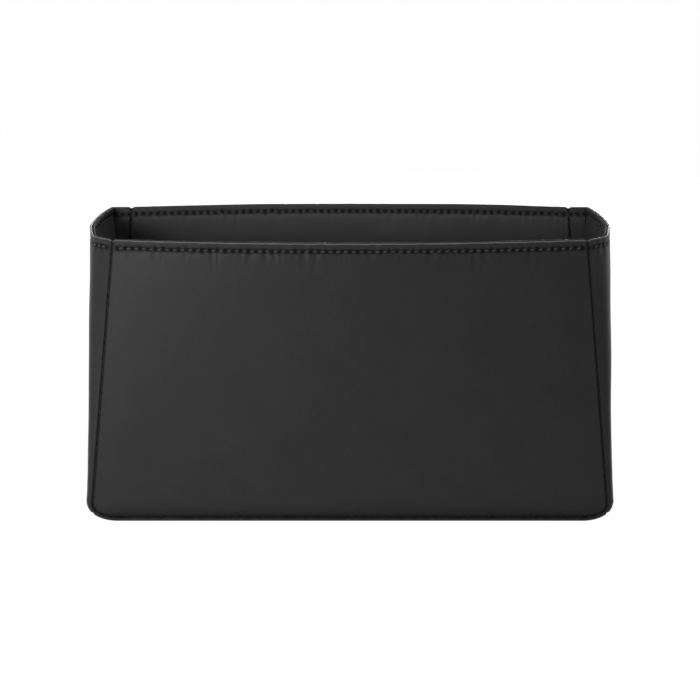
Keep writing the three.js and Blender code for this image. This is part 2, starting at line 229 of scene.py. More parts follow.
def strip_points(station, u, depth):
    """The strip round an end: u from 0 to 1 is the soft front corner, a curve of the second degree from the
    seam to where the section stands out most, drawn to its corner by a weight; to 2 the side, drawing in
    towards the back; to 3 the back corner's quarter circle; to 4 the leg in to the back seam. depth moves
    the point in from the outer face."""
    seam_x, seam_z, out_x, out_z, wrap, standout, front_turn, slack, bend = strip_section(station)
    half_depth = end_half_depth(seam_z)
    radius = np.maximum(np.minimum(BACK_FILLET, wrap - LEAST_LEG) - depth, LEAST_RADIUS)
    fillet_out = wrap - depth - radius
    fillet_y = 2 * half_depth - depth - radius

    t = np.clip(u, 0, 1)
    control_out = standout * (1 - slack / 2)
    control_y = front_turn * slack / 2
    pull = 2 * bend * t * (1 - t)
    total = (1 - t) ** 2 + pull + t**2
    corner_out = (pull * control_out + t**2 * standout) / total
    corner_y = (pull * control_y + t**2 * front_turn) / total
    first = bend * (1 - t) ** 2
    middle = t * (1 - t)
    last = bend * t**2
    way_out = first * control_out + middle * standout + last * (standout - control_out)
    way_y = first * control_y + middle * front_turn + last * (front_turn - control_y)
    way = np.hypot(way_out, way_y)
    free = np.clip(t / SEAM_EASE, 0, 1)
    corner_out = corner_out - depth * free * way_y / way
    corner_y = corner_y + depth * (1 - free + free * way_out / way)

    s = np.clip(u - 1, 0, 1)
    side_out = standout + (wrap - standout) * s**SIDE_CURVE - depth
    side_y = front_turn + (fillet_y - front_turn) * s
    turn = np.clip(u - 2, 0, 1) * math.pi / 2
    leg = np.clip(u - 3, 0, 1)
    pieces = [u < 1, u < 2, u < 3]
    outs = [corner_out, side_out, fillet_out + radius * np.cos(turn)]
    places = [corner_y, side_y, fillet_y + radius * np.sin(turn)]
    out = np.select(pieces, outs, fillet_out * (1 - leg))
    y = np.select(pieces, places, 2 * half_depth - depth)
    x, y, z = np.broadcast_arrays(seam_x + out_x * out, y - half_depth, seam_z + out_z * out)
    return np.stack([x, y, z], axis=-1)


def strip_lengths(station, u):
    """Lengths along the outer section: from the front seam, and from the nearer of the two seams."""
    points = strip_points(station, u, 0 * u)
    steps = np.linalg.norm(np.diff(points, axis=1), axis=-1)
    ahead = np.concatenate([np.zeros_like(steps[:, :1]), np.cumsum(steps, axis=1)], axis=1)
    return ahead, np.minimum(ahead, ahead[:, -1:] - ahead)


# Cloth detail: depths added to the plain form

def bell(distance, width):
    """A bell curve: 1 at no distance, and less with the square of the distance over the width."""
    return np.exp(-((distance / width) ** 2))


def swell(a, b, kind, side=0):
    """Soft unevenness from 0 to a height: a few sine waves of about one wavelength, in seeded directions.

    side moves the seed, so that each wall and end has its own."""
    seed, wave, height = kind
    rng = np.random.default_rng(seed + side)
    total = 0
    for turn, stretch, phase in rng.random((SWELL_WAVES, 3)):
        k = 2 * math.pi / (wave * (SWELL_LEAST + SWELL_SPAN * stretch))
        way = SWELL_TURN * turn
        total = total + np.sin(k * (a * math.cos(way) + b * math.sin(way)) + SWELL_TURN * phase)
    return height * np.clip(0.5 + total / SWELL_CALM, 0, 1)


def beat(along, wander):
    """One wave a stitch from 0 to 1, whose places wander by a share of the pitch."""
    slow, quick = STITCH_DRIFTS
    drift = np.sin(along / slow) + np.sin(along / quick + 1)
    return 0.5 + 0.5 * np.cos(2 * math.pi * along / STITCH_PITCH + wander * drift)


def seam_line(distance, along, kind):
    """A bell of the distance from a seam, of an even share and the rest stitch by stitch along it."""
    size, width, even, wander = kind
    return size * bell(distance, width) * (even + (1 - even) * beat(along, wander))


def seam_dip(distance, along=0.0):
    """How far the cloth turns in at a seam, as seam_line."""
    return seam_line(distance, along, SEAM_DIP)


def seam_shade(distance, along):
    """Painted shade in the groove of a seam, as seam_line."""
    return seam_line(distance, along, SEAM_SHADE)


def foot_shade(z):
    """Painted shade where a wall's cloth turns under: bells of the height over the bottom seam."""
    return sum(share * bell(z - ROLL, width) for share, width in FOOT_SHADES)


def slack_below_hem(z):
    """0 in the hem and 1 from HEM_FADE below it, with a smooth change."""
    share = np.clip((HEIGHT - HEM_DEPTH - z) / HEM_FADE, 0, 1)
    return share**2 * (3 - 2 * share)


def seam_ridge(distance):
    """The turned allowance behind a gusset's edge lifts it: a bell a little way from the seam."""
    return RIDGE_HEIGHT * bell(distance - RIDGE_PLACE, RIDGE_WIDTH)


def foot_tuck(z):
    """A wall's cloth turns under towards the bottom seam, less and less with the height over it."""
    return FOOT_TUCK * np.exp(-(z - ROLL) / FOOT_TUCK_HEIGHT)


def stitch_pull(along, over):
    """The row of stitches draws the cloth in: a valley, a channel in it, a pit at each needle hole, and
    puckers that run further down than up. along is the distance along the row, over the height over it."""
    channel = bell(over, CHANNEL_WIDTH)
    hole = channel * beat(along, 0) ** HOLE_SHARPNESS
    uneven = swell(along, 0 * along, ROW_UNEVENNESS)
    reach = np.where(over < 0, PUCKER_REACH_DOWN + PUCKER_GROWTH * uneven**2, PUCKER_REACH_UP)
    pucker = bell(over, reach) * beat(along, PUCKER_WANDER) * (PUCKER_LEAST + uneven)
    furrow = VALLEY_DEPTH * bell(over, VALLEY_WIDTH) + CHANNEL_DEPTH * channel
    return furrow + HOLE_DEPTH * hole + PUCKER_DEPTH * pucker


def within_hem(depth, hem):
    """Holds a depth in the hem to what leaves LEAST_CLOTH of it."""
    return np.where(hem > 0, np.minimum(depth, HEM - LEAST_CLOTH), depth)


def seam_pucker(distance, along, kind, side):
    """Faint creases square to a seam that start a little way from it and fade."""
    fade = np.exp(-distance / SEAM_PUCKER_REACH) * (1 - np.exp(-distance / SEAM_PUCKER_START))
    return fade * swell(along, 0 * along, kind, side)


def notch(distance, z):
    """How far the rim drops where it ends at a seam: a bell of the distance, only in the hem."""
    share = np.clip((z - (HEIGHT - HEM_DEPTH)) / HEM_DEPTH, 0, 1)
    return RIM_NOTCH * share**2 * bell(distance, RIM_NOTCH_WIDTH)


# Grids

FOLD_ROWS = 6
FOLD_ROOM = 1.0 * MM
FOOT_BAND = 3 * MM
STITCH_BAND = 4 * MM
FINE_STEP = 0.3 * MM
EDGE_BAND = 3 * MM
EDGE_STEP = 0.2 * MM
PANEL_STEP = 0.9 * MM


def spread(start, *stops):
    """Values from a start through (end, step) stops, each stretch in even steps."""
    values = [np.array([start])]
    for end, step in stops:
        count = max(1, round(abs(end - start) / step))
        values.append(np.linspace(start, end, count + 1)[1:])
        start = end
    return np.concatenate(values)


def both_ways(half):
    """A row of values from 0 on, with its mirror image before it."""
    return np.concatenate([-half[:0:-1], half])[None, :]


def hem_rows(heights, face, back):
    """Rows of a cloth with a turned hem: height, depth of its outer and inner side, and share of hem.

    face and back are the depths of the cloth below the hem and in it, as pairs; the fold at the top is a
    half circle of the hem's thickness."""
    share = np.clip((heights - (HEIGHT - HEM_DEPTH - HEM_SLOPE)) / HEM_SLOPE, 0, 1)
    outer = face[0] + (face[1] - face[0]) * share
    inner = back[0] + (back[1] - back[0]) * share
    radius = (back[1] - face[1]) / 2
    turn = np.linspace(0, FOLD_TURN, FOLD_ROWS)
    fold_z = HEIGHT - radius + radius * np.sin(turn)
    fold_in = radius * (1 - np.cos(turn))
    z = np.concatenate([heights, fold_z])
    outer = np.concatenate([outer, face[1] + fold_in])
    inner = np.concatenate([inner, back[1] - fold_in])
    share = np.concatenate([share, np.ones(len(turn))])
    return z[:, None], outer[:, None], inner[:, None], share[:, None]


def rim_heights(foot, step):
    """Heights from a foot to just under the fold: close together at the foot and by the stitching."""
    near_foot = foot + FOOT_BAND
    below_hem = HEIGHT - HEM_DEPTH - STITCH_BAND
    return spread(foot, (near_foot, FINE_STEP), (below_hem, step), (HEIGHT - FOLD_ROOM, FINE_STEP))


def panel_columns():
    """Shares of the panel's half length, close together at both seams."""
    edge = 1 - EDGE_BAND / RIM_HALF
    return both_ways(spread(0, (edge, PANEL_STEP / RIM_HALF), (1, EDGE_STEP / RIM_HALF)))


# Meshes

CLOTH_SHARP_DEG = 50
THREAD_SHARP_DEG = 60


def grid_quads(grid):
    """Quads between the neighbouring points of a grid of point numbers."""
    return np.stack([grid[:-1, :-1], grid[:-1, 1:], grid[1:, 1:], grid[1:, :-1]], -1).reshape(-1, 4)


def sheet_faces(rows, columns):
    """Quads of a closed sheet: its outer grid, its inner grid turned over, and the four edges between."""
    outer = np.arange(rows * columns).reshape(rows, columns)
    inner = outer + rows * columns
    return np.concatenate([
        grid_quads(outer),
        grid_quads(inner)[:, ::-1],
        grid_quads(np.stack([inner[0], outer[0]])),
        grid_quads(np.stack([outer[-1], inner[-1]])),
        grid_quads(np.stack([outer[:, 0], inner[:, 0]])),
        grid_quads(np.stack([inner[:, -1], outer[:, -1]])),
    ])


def put_mesh(name, points, faces, uv, material, sharp_deg=CLOTH_SHARP_DEG, shade=None):
    """A mesh object at the origin from arrays of points, faces and UV places, smooth but for sharp edges.

    shade is the painted shade at each point, from 0 to 1."""
    mesh = bpy.data.meshes.new(name)
    mesh.from_pydata(points.reshape(-1, 3).tolist(), [], faces)
    layer = mesh.uv_layers.new(name="cloth")
    corners = np.zeros(len(mesh.loops), np.int32)
    mesh.loops.foreach_get("vertex_index", corners)
    layer.data.foreach_set("uv", uv.reshape(-1, 2)[corners].astype(np.float32).ravel())
    if shade is not None:
        dark = mesh.attributes.new("shade", "FLOAT", "POINT")
        dark.data.foreach_set("value", shade.astype(np.float32).ravel())
    mesh.polygons.foreach_set("use_smooth", np.ones(len(mesh.polygons), bool))
    mesh.set_sharp_from_angle(angle=math.radians(sharp_deg))
    mesh.materials.append(material)
    piece = bpy.data.objects.new(name, mesh)
    bpy.context.scene.collection.objects.link(piece)
    return piece


def put_sheet(name, outer, inner, uv, material, flip=(1, 1), shade=None):
    """A closed sheet from its two grids, mirrored in X and Y by flip."""
    rows, columns = outer.shape[:2]
    faces = sheet_faces(rows, columns)
    points = np.concatenate([outer, inner]) * np.array([flip[0], flip[1], 1])
    if flip[0] * flip[1] < 0:
        faces = faces[:, ::-1]
    if shade is not None:
        shade = np.concatenate([shade, shade])
    return put_mesh(name, points, faces.tolist(), np.concatenate([uv, uv]), material, shade=shade)


def cloth_uv(a, b):
    """UV places in metres along the cloth; the second is the height on a cloth that stands."""
    a, b = np.broadcast_arrays(a, b)
    return np.stack([a, b], -1)


# Shaders

def add_node(tree, kind, settings, inputs, out=0):
    """A node of a kind with its settings and the values or links of its sockets, as one of its outputs."""
    node = tree.nodes.new(kind)
    for key, value in settings.items():
        setattr(node, key, value)
    for key, value in inputs.items():
        if isinstance(value, Value):
            tree.links.new(value.socket, node.inputs[key])
        else:
            node.inputs[key].default_value = value
    return Value(tree, node.outputs[out])


class Value:
    """A shader socket that Python's operators work on: each adds one Math node."""

    def __init__(self, tree, socket):
        self.tree = tree
        self.socket = socket

    def math(self, operation, *others):
        """A Math node on sockets and numbers."""
        return add_node(self.tree, "ShaderNodeMath", {"operation": operation}, dict(enumerate(others)))

    def __add__(self, other):
        return self.math("ADD", self, other)

    def __sub__(self, other):
        return self.math("SUBTRACT", self, other)

    def __rsub__(self, other):
        return self.math("SUBTRACT", other, self)

    def __mul__(self, other):
        return self.math("MULTIPLY", self, other)

    __radd__ = __add__
    __rmul__ = __mul__

    def wave(self, pitch):
        """A sine of one period a pitch."""
        return self.math("SINE", self * (2 * math.pi / pitch))

    def most(self, other):
        """The greater of two."""
        return self.math("MAXIMUM", self, other)

    def size(self):
        """The value without its sign."""
        return self.math("ABSOLUTE", self)


class Finish:
    """One material: its Principled shader and the nodes that feed it."""

    def __init__(self, name, sockets):
        self.material = bpy.data.materials.new(name)
        self.material.use_nodes = True
        self.tree = self.material.node_tree
        self.shader = self.tree.nodes["Principled BSDF"]
        for key, value in sockets.items():
            self.shader.inputs[key].default_value = value

    def add(self, kind, settings, inputs, out=0):
        """A node in this material, as add_node."""
        return add_node(self.tree, kind, settings, inputs, out)

    def feed(self, socket, value):
        """Links a value to the Principled shader."""
        self.tree.links.new(value.socket, self.shader.inputs[socket])

    def cloth_place(self):
        """The place on the cloth in metres: whole, along it and up it."""
        place = self.add("ShaderNodeUVMap", {"uv_map": "cloth"}, {})
        along = self.add("ShaderNodeSeparateXYZ", {}, {"Vector": place})
        return place, along, Value(self.tree, along.socket.node.outputs["Y"])

    def noise(self, place, kind):
        """Noise of a kind: scale, detail and roughness."""
        scale, detail, roughness = kind
        inputs = {"Vector": place, "Scale": scale, "Detail": detail, "Roughness": roughness}
        return self.add("ShaderNodeTexNoise", {}, inputs)

    def between(self, factor, low, high):
        """A colour between two: a Mix node's factor is socket 0, its colours are 6 and 7, the mix is 2."""
        settings = {"data_type": "RGBA"}
        return self.add("ShaderNodeMix", settings, {0: factor, 6: low, 7: high}, out=2)

    def step(self, value, low, high):
        """0 up to low and 1 from high, with a smooth change."""
        inputs = {"Value": value, "From Min": low, "From Max": high}
        return self.add("ShaderNodeMapRange", {"interpolation_type": "SMOOTHSTEP"}, inputs)

    def bump(self, height, relief):
        """Relief from a height: the distance it stands for, and its strength."""
        distance, strength = relief
        inputs = {"Height": height, "Distance": distance, "Strength": strength}
        self.feed("Normal", self.add("ShaderNodeBump", {}, inputs))


COOL = 1.02


def grey(tone):
    """A near black or grey, a trace cool."""
    return (tone, tone, COOL * tone, 1)


# Satin: its noises (scale, detail, roughness), weave, painted tone at the fold and painted shade along the
# row, and what each does to it

SLUB = (900.0, 3.0, 0.6)
TONE = (38.0, 3.0, 0.55)
UNEVEN = (260.0, 2.0, 0.5)
TWILL_PITCH = 1.1 * MM
TWILL_SLANT = 0.62
TWILL_WEIGHT = 0.3
YARN_PITCH = 0.7 * MM
YARN_SLANT = 0.2
YARN_WEIGHT = 0.12
SLUB_WEIGHT = 0.35
TONE_SHARE = 0.55
WEAVE_RELIEF = (0.05 * MM, 0.55)
SATIN_SHEEN = {"Sheen Weight": 0.03, "Sheen Roughness": 0.4}
# Band at the rim's fold that gets the painted fold tone and is smoother
FOLD_BAND_WAVER = 0.8 * MM
FOLD_BAND_FOOT = HEIGHT - 0.5 * MM
FOLD_BAND_TOP = HEIGHT - 0.2 * MM
# Band along the stitch row that gets painted shade, and its even share
ROW_WAVER = 2 * MM
ROW_NEAR = 0.5 * MM
ROW_FAR = 1.9 * MM
ROW_EVEN = 0.3
# Darkest painted shade, as a share of the low tone
SHADE_DARKEST = 0.05
TONE_ROUGH = 0.12
SLUB_ROUGH = 0.06
RUB_SMOOTH = 0.15
ROW_SHADE_ROUGH = 0.3
SHADE_ROUGH = 0.4


def satin_cloth(name, low, high, roughness, gloss, painted_fold_tone, row_shade):
    """Satin: a fine twill of slanting floats, uneven in tone and gloss. Along the rim the fold gets a
    painted tone and is smoother; painted shade darkens the line under the stitches and the cloth wherever
    the shade attribute is set."""
    finish = Finish(name, {"Specular IOR Level": gloss, **SATIN_SHEEN})
    place, u, v = finish.cloth_place()
    slant = (u + TWILL_SLANT * v).wave(TWILL_PITCH)
    yarn = (v - YARN_SLANT * u).wave(YARN_PITCH)
    slub = finish.noise(place, SLUB)
    tone = finish.noise(place, TONE)
    weave = 0.5 + TWILL_WEIGHT * slant + YARN_WEIGHT * yarn + SLUB_WEIGHT * (slub - 0.5)
    uneven = finish.noise(place, UNEVEN)
    fold = finish.step(v + FOLD_BAND_WAVER * (uneven - 0.5), FOLD_BAND_FOOT, FOLD_BAND_TOP)
    hole = 0.5 + 0.5 * (u + STITCH_PITCH / 4).wave(STITCH_PITCH)
    row = 1 - finish.step((v - STITCH_HEIGHT).size() + ROW_WAVER * (uneven - 0.5), ROW_NEAR, ROW_FAR)
    row_shade_mask = row * (ROW_EVEN + (1 - ROW_EVEN) * hole)
    shade = finish.add("ShaderNodeAttribute", {"attribute_name": "shade"}, {}, out="Fac")
    cloth = finish.between(TONE_SHARE * tone + (1 - TONE_SHARE) * weave, grey(low), grey(high))
    # Painted shade along the stitch row and wherever the shade attribute is set
    cloth = finish.between((row_shade * row_shade_mask).most(shade), cloth, grey(SHADE_DARKEST * low))
    # Painted tone at the fold: a painted highlight on the satin, a painted shade on the lining
    finish.feed("Base Color", finish.between(fold, cloth, grey(painted_fold_tone)))
    worn = roughness + TONE_ROUGH * (tone - 0.5) + SLUB_ROUGH * (slub - 0.5) - RUB_SMOOTH * fold
    finish.feed("Roughness", worn + ROW_SHADE_ROUGH * row_shade_mask + SHADE_ROUGH * shade)
    finish.bump(weave, WEAVE_RELIEF)
    return finish.material


# Thread, board and felt: noises, weights and reliefs as for the satin

FUZZ = (700.0, 2.0, 0.5)
PLY_PITCH = 0.42 * MM
PLY_WEIGHT = 0.35
FUZZ_WEIGHT = 0.5
THREAD_ROUGH = 0.38
FUZZ_ROUGH = 0.2
PLY_RELIEF = (0.05 * MM, 0.6)
PEBBLE = (900.0, 3.0, 0.5)
MOTTLE = (40.0, 2.0, 0.5)
BOARD_ROUGH = 0.5
PEBBLE_ROUGH = 0.25
PEBBLE_RELIEF = (0.1 * MM, 0.5)
FIBRE = (1500.0, 5.0, 0.7)
FELT_ROUGH = 0.85
FIBRE_ROUGH = 0.15
FIBRE_RELIEF = (0.3 * MM, 0.7)


def sewing_thread(name, low, high):
    """Thread: slanting plies along each stitch."""
    finish = Finish(name, {"Specular IOR Level": 0.55, "Sheen Weight": 0.1})
    place, u, v = finish.cloth_place()
    ply = (u * (1 / PLY_PITCH) + v).wave(1)
    fuzz = finish.noise(place, FUZZ)
    tone = 0.5 + PLY_WEIGHT * ply + FUZZ_WEIGHT * (fuzz - 0.5)
    finish.feed("Base Color", finish.between(tone, grey(low), grey(high)))
    finish.feed("Roughness", THREAD_ROUGH + FUZZ_ROUGH * fuzz)
    finish.bump(0.5 + 0.5 * ply, PLY_RELIEF)
    return finish.material


def plastic_board(name, low, high):
    """Board: dark plastic with a fine pebble."""
    finish = Finish(name, {"Specular IOR Level": 0.4})
    place = finish.add("ShaderNodeTexCoord", {}, {}, out="Object")
    pebble = finish.noise(place, PEBBLE)
    mottle = finish.noise(place, MOTTLE)
    finish.feed("Base Color", finish.between(mottle, grey(low), grey(high)))
    finish.feed("Roughness", BOARD_ROUGH + PEBBLE_ROUGH * pebble)
    finish.bump(pebble, PEBBLE_RELIEF)
    return finish.material


def felt_cloth(name, low, high):
    """Felt: matted short fibres."""
    finish = Finish(name, {"Sheen Weight": 0.4, "Specular IOR Level": 0.2})
    fibre = finish.noise(finish.cloth_place()[0], FIBRE)
    finish.feed("Base Color", finish.between(fibre, grey(low), grey(high)))
    finish.feed("Roughness", FELT_ROUGH + FIBRE_ROUGH * fibre)
    finish.bump(fibre, FIBRE_RELIEF)
    return finish.material


# The fold tone is a painted highlight on the satin and a painted shade on the lining; the row share is
# painted shade along the stitch row.
satin = satin_cloth(
    "black_satin", low=0.015, high=0.031, roughness=0.5, gloss=0.12, painted_fold_tone=0.12, row_shade=0.95)
# The lining is the same satin painted about four times lighter than the outer cloth: painted light, so that
# the inner walls come out as bright as the front.
lining_satin = satin_cloth(
    "black_lining", low=0.064, high=0.115, roughness=0.6, gloss=0.08, painted_fold_tone=0.012, row_shade=0.8)
needle_thread = sewing_thread("black_needle_thread", low=0.02, high=0.055)
bobbin_thread = sewing_thread("black_bobbin_thread", low=0.01, high=0.03)
board = plastic_board("stiffener_board", low=0.03, high=0.055)
felt = felt_cloth("gusset_felt", low=0.02, high=0.06)


def show_board(name):
    """A stiffener keeps its solid's form and gets the board's finish."""
    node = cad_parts[name]
    node.data.materials.clear()
    node.data.materials.append(board)


# Main walls

WALL_TURN = {"front": (1, 1), "back": (-1, -1)}
WALL_HOLD = 9 * MM
WALL_CORNER_ROWS = 22
OUTER_STEP = 1.3 * MM
LINING_STEP = 2.6 * MM
PEEK_HEIGHT = 3 * MM


def bend_foot(piece):
    """Bakes the piece's placement into its points."""
    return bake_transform(piece)


def wall_cloth(side):
    """Outer cloth of a wall: dips at its seams, is drawn in by the rim stitches, and swells a little."""
    turned = WALL_TURN[side]
    turns = np.linspace(math.pi / 2, 0, WALL_CORNER_ROWS)
    sides = rim_heights(CORNER_TOP, OUTER_STEP)
    heights = np.concatenate([CORNER_TOP - CORNER_HEIGHT * np.sin(turns[:-1]), sides])
    z, outer, inner, hem = hem_rows(heights, *OUTER_DEPTHS)
    x = panel_columns() * panel_half(z)
    distance = seam_distance(x, z)
    along = z + np.abs(x)
    slack = slack_below_hem(z)
    dip = seam_dip(distance, along) + foot_tuck(z)
    lift = slack * (1 - bell(distance, WALL_HOLD)) * swell(x, z, WALL_SWELL, turned[0])
    crease = seam_pucker(distance, x + z, WALL_PUCKER, turned[0]) * slack
    pull = stitch_pull(x, z - STITCH_HEIGHT)
    top = z - notch(panel_half(z) - np.abs(x), z)
    face = wall_points(x, top, outer + within_hem(dip + pull, hem) - lift - crease)
    behind = wall_points(x, top, inner + dip * (1 - hem) - lift)
    # Painted shade along the seams and where the cloth turns under at the foot
    shade = np.maximum(seam_shade(distance, along), foot_shade(z))
    piece = put_sheet(f"{side}_cloth", face, behind, cloth_uv(x, z), satin, turned, shade)
    bend_foot(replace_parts(piece, f"{side}_outer_panel"))
    return piece


def wall_lining(side):
    """Lining of a wall: as the outer cloth seen from inside, and its fold stands wavily at the rim."""
    turned = WALL_TURN[side]
    z, outer, inner, hem = hem_rows(rim_heights(INNER_FOOT, LINING_STEP), *LINING_DEPTHS)
    x = panel_columns() * panel_half(z)
    distance = seam_distance(x, z)
    along = z + np.abs(x)
    dip = seam_dip(distance, along)
    loose = slack_below_hem(z) * (1 - bell(distance, WALL_HOLD))
    lift = loose * swell(x, z, WALL_LINING_SWELL, turned[0])
    pull = stitch_pull(x, z - STITCH_HEIGHT)
    peek = swell(x, 0 * x, RIM_WAVER, turned[0]) * np.clip((z - STITCH_HEIGHT) / PEEK_HEIGHT, 0, 1)
    top = z + peek - notch(panel_half(z) - np.abs(x), z)
    face = wall_points(x, top, outer - dip * (1 - hem) + lift)
    behind = wall_points(x, top, inner - within_hem(dip + pull, hem) + lift)
    # Painted shade along the seams
    shade = seam_shade(distance, along)
    piece = put_sheet(f"{side}_lining_cloth", face, behind, cloth_uv(x, z), lining_satin, turned, shade)
    bend_foot(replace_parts(piece, f"{side}_lining_panel"))
    return piece


for wall in WALL_TURN:
    wall_cloth(wall)
    wall_lining(wall)
    show_board(f"{wall}_board")


# Gussets, each in a front and a rear half

ENDS = {"right": 1, "left": -1}
GUSSET_HOLD = 10 * MM
HEM_RIDGE_LOSS = 0.6
BASE_SEAM_SHARE = 0.5
CORNER_ROWS = 12
LAST_TURN = 0.02
# Painted shade on a gusset's lining round its side
GUSSET_LINING_SHADE = 0.6
FELT_STEP = 4 * MM
FELT_DROP = 1.1 * MM

# Places round the section, as strip_points counts them: the split, where the painted shade ends, and the
# columns
SPLIT = 1.4
LEG_START = 2.6
LEG_WIDTH = 0.7
FRONT_STOPS = ((0.05, 0.003), (0.16, 0.011), (1, 0.03))
SIDE_STOPS = ((SPLIT, 0.025), (2, 0.025))
BACK_STOPS = ((3, 0.15), (3.4, 0.08), (4, 0.04))


def follow_wall(piece):
    """Bakes the piece's placement into its points."""
    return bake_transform(piece)


def strip_columns():
    """Places round the section, close together at both seams; one lies at the split."""
    return spread(0, *FRONT_STOPS, *SIDE_STOPS, *BACK_STOPS)[None, :]


def gusset_rows(step, depths, from_turn):
    """Rows of a gusset's cloth, from a turn in the bottom corner to the rim: as hem_rows, by station."""
    z, outer, inner, hem = hem_rows(rim_heights(CORNER_TOP, step), *depths)
    corner = -np.linspace(from_turn, LAST_TURN, CORNER_ROWS)[:, None]
    bare = np.zeros_like(corner)
    station = np.concatenate([corner, z])
    outer = np.concatenate([bare + depths[0][0], outer])
    inner = np.concatenate([bare + depths[1][0], inner])
    return station, outer, inner, np.concatenate([bare, hem])


def height_of(station):
    """A station as a height, carried on down round the bottom corner."""
    return np.where(station < 0, CORNER_TOP + CORNER_LENGTH * station, station)


def put_halves(name, end, face, behind, uv, shade, material, node):
    """A layer of a gusset as two sheets that meet at the split."""
    split = int(np.argmin(np.abs(strip_columns() - SPLIT)))
    flip = (ENDS[end], 1)
    halves = (("front", "front", slice(None, split + 1)), ("rear", "back", slice(split, None)))
    for half, side, columns in halves:
        parts = [grid[:, columns] for grid in (face, behind, uv)]
        piece = put_sheet(f"{end}_gusset_{half}_{name}", *parts, material, flip, shade[:, columns])
        follow_wall(piece)
        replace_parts(piece, node)


def gusset_cloth(end):
    """Outer cloth of a gusset: a ridge beside each seam, a rim hem, and slack that grows upward."""
    station, outer, inner, hem = gusset_rows(OUTER_STEP, OUTER_DEPTHS, BASE_SEAM_TURN)
    u = strip_columns()
    ahead, distance = strip_lengths(station, u)
    foot = np.where(station < 0, (station + BASE_SEAM_TURN) * CORNER_LENGTH, np.inf)
    dip = np.maximum(seam_dip(distance, station), BASE_SEAM_SHARE * seam_dip(foot))
    ridge = seam_ridge(distance) * (1 - HEM_RIDGE_LOSS * hem)
    slack = slack_below_hem(station) * (station > 0)
    lift = slack * (1 - bell(distance, GUSSET_HOLD)) * swell(ahead, station, GUSSET_SWELL, ENDS[end])
    crease = seam_pucker(distance, station, GUSSET_PUCKER, ENDS[end]) * slack
    pull = stitch_pull(ahead, station - STITCH_HEIGHT)
    rim = station - notch(distance, station)
    face = strip_points(rim, u, outer + within_hem(dip + pull, hem) - ridge - lift - crease)
    behind = strip_points(rim, u, inner + dip * (1 - hem) - lift)
    uv = cloth_uv(ahead, height_of(station))
    # Painted shade along the seams to the walls and to the base
    shade = np.maximum(seam_shade(distance, station), seam_shade(foot, ahead))
    put_halves("cloth", end, face, behind, uv, shade, satin, f"outer_{end}_gusset")


def gusset_lining(end):
    """Lining of a gusset, from above the base lining to its fold at the rim; painted shade darkens it round
    the side.
    """
    station, outer, inner, hem = gusset_rows(LINING_STEP, LINING_DEPTHS, LINING_FOOT_TURN)
    u = strip_columns()
    ahead, distance = strip_lengths(station, u)
    dip = seam_dip(distance, station)
    loose = slack_below_hem(station) * (station > 0) * (1 - bell(distance, GUSSET_HOLD))
    lift = loose * swell(ahead, station, GUSSET_LINING_SWELL, ENDS[end])
    pull = stitch_pull(ahead, station - STITCH_HEIGHT)
    rim = station - notch(distance, station)
    face = strip_points(rim, u, outer - dip * (1 - hem) + lift)
    behind = strip_points(rim, u, inner - within_hem(dip + pull, hem) + lift)
    uv = cloth_uv(ahead, height_of(station))
    # Painted shade along the seams and over the front corner and side, fading out before the back leg
    side_shade = GUSSET_LINING_SHADE * (1 - np.clip((u - LEG_START) / LEG_WIDTH, 0, 1))
    shade = np.maximum(seam_shade(distance, station), side_shade)
    put_halves("lining", end, face, behind, uv, shade, lining_satin, f"lining_{end}_gusset")


def gusset_felt(end):
    """Felt between the two cloths, clear of the hem."""
    z = spread(CORNER_TOP, (HEIGHT - HEM_DEPTH - FELT_DROP, FELT_STEP))[:, None]
    u = strip_columns()
    ahead = strip_lengths(z, u)[0]
    face = strip_points(z, u, BOARD_FACE + 0 * u)
    behind = strip_points(z, u, BOARD_BACK + 0 * u)
    put_halves("felt", end, face, behind, cloth_uv(ahead, z), 0 * ahead, felt,
               f"{end}_gusset_interlining")


for gusset_end in ENDS:
    gusset_cloth(gusset_end)
    gusset_lining(gusset_end)
    gusset_felt(gusset_end)


# Base

BASE_TURN_ROWS = 16
BASE_ROWS = 90
BASE_RIDGE_SHARE = 0.5
ROLL_DIP_WIDTH = 1.4
# Painted shadow on the roll's underside: the height and the reach from the seam of its bells
UNDER_HEIGHT = 0.55 * MM
UNDER_REACH = 6 * MM
LINING_CLEAR = 0.4 * MM
LINING_EASE = 0.55
LINING_END_REACH = 2.4 * MM
LINING_TURN_UP = 2.6 * MM
LINING_HOLD = 6 * MM
LINING_EDGE_DROP = 0.2 * MM
LINING_EDGE_WIDTH = 0.6 * MM
LINING_END_BAND = 8 * MM
LINING_SIDE_BAND = 4 * MM
LINING_FINE_STEP = 0.5 * MM
LINING_FLAT_STEP = 3 * MM


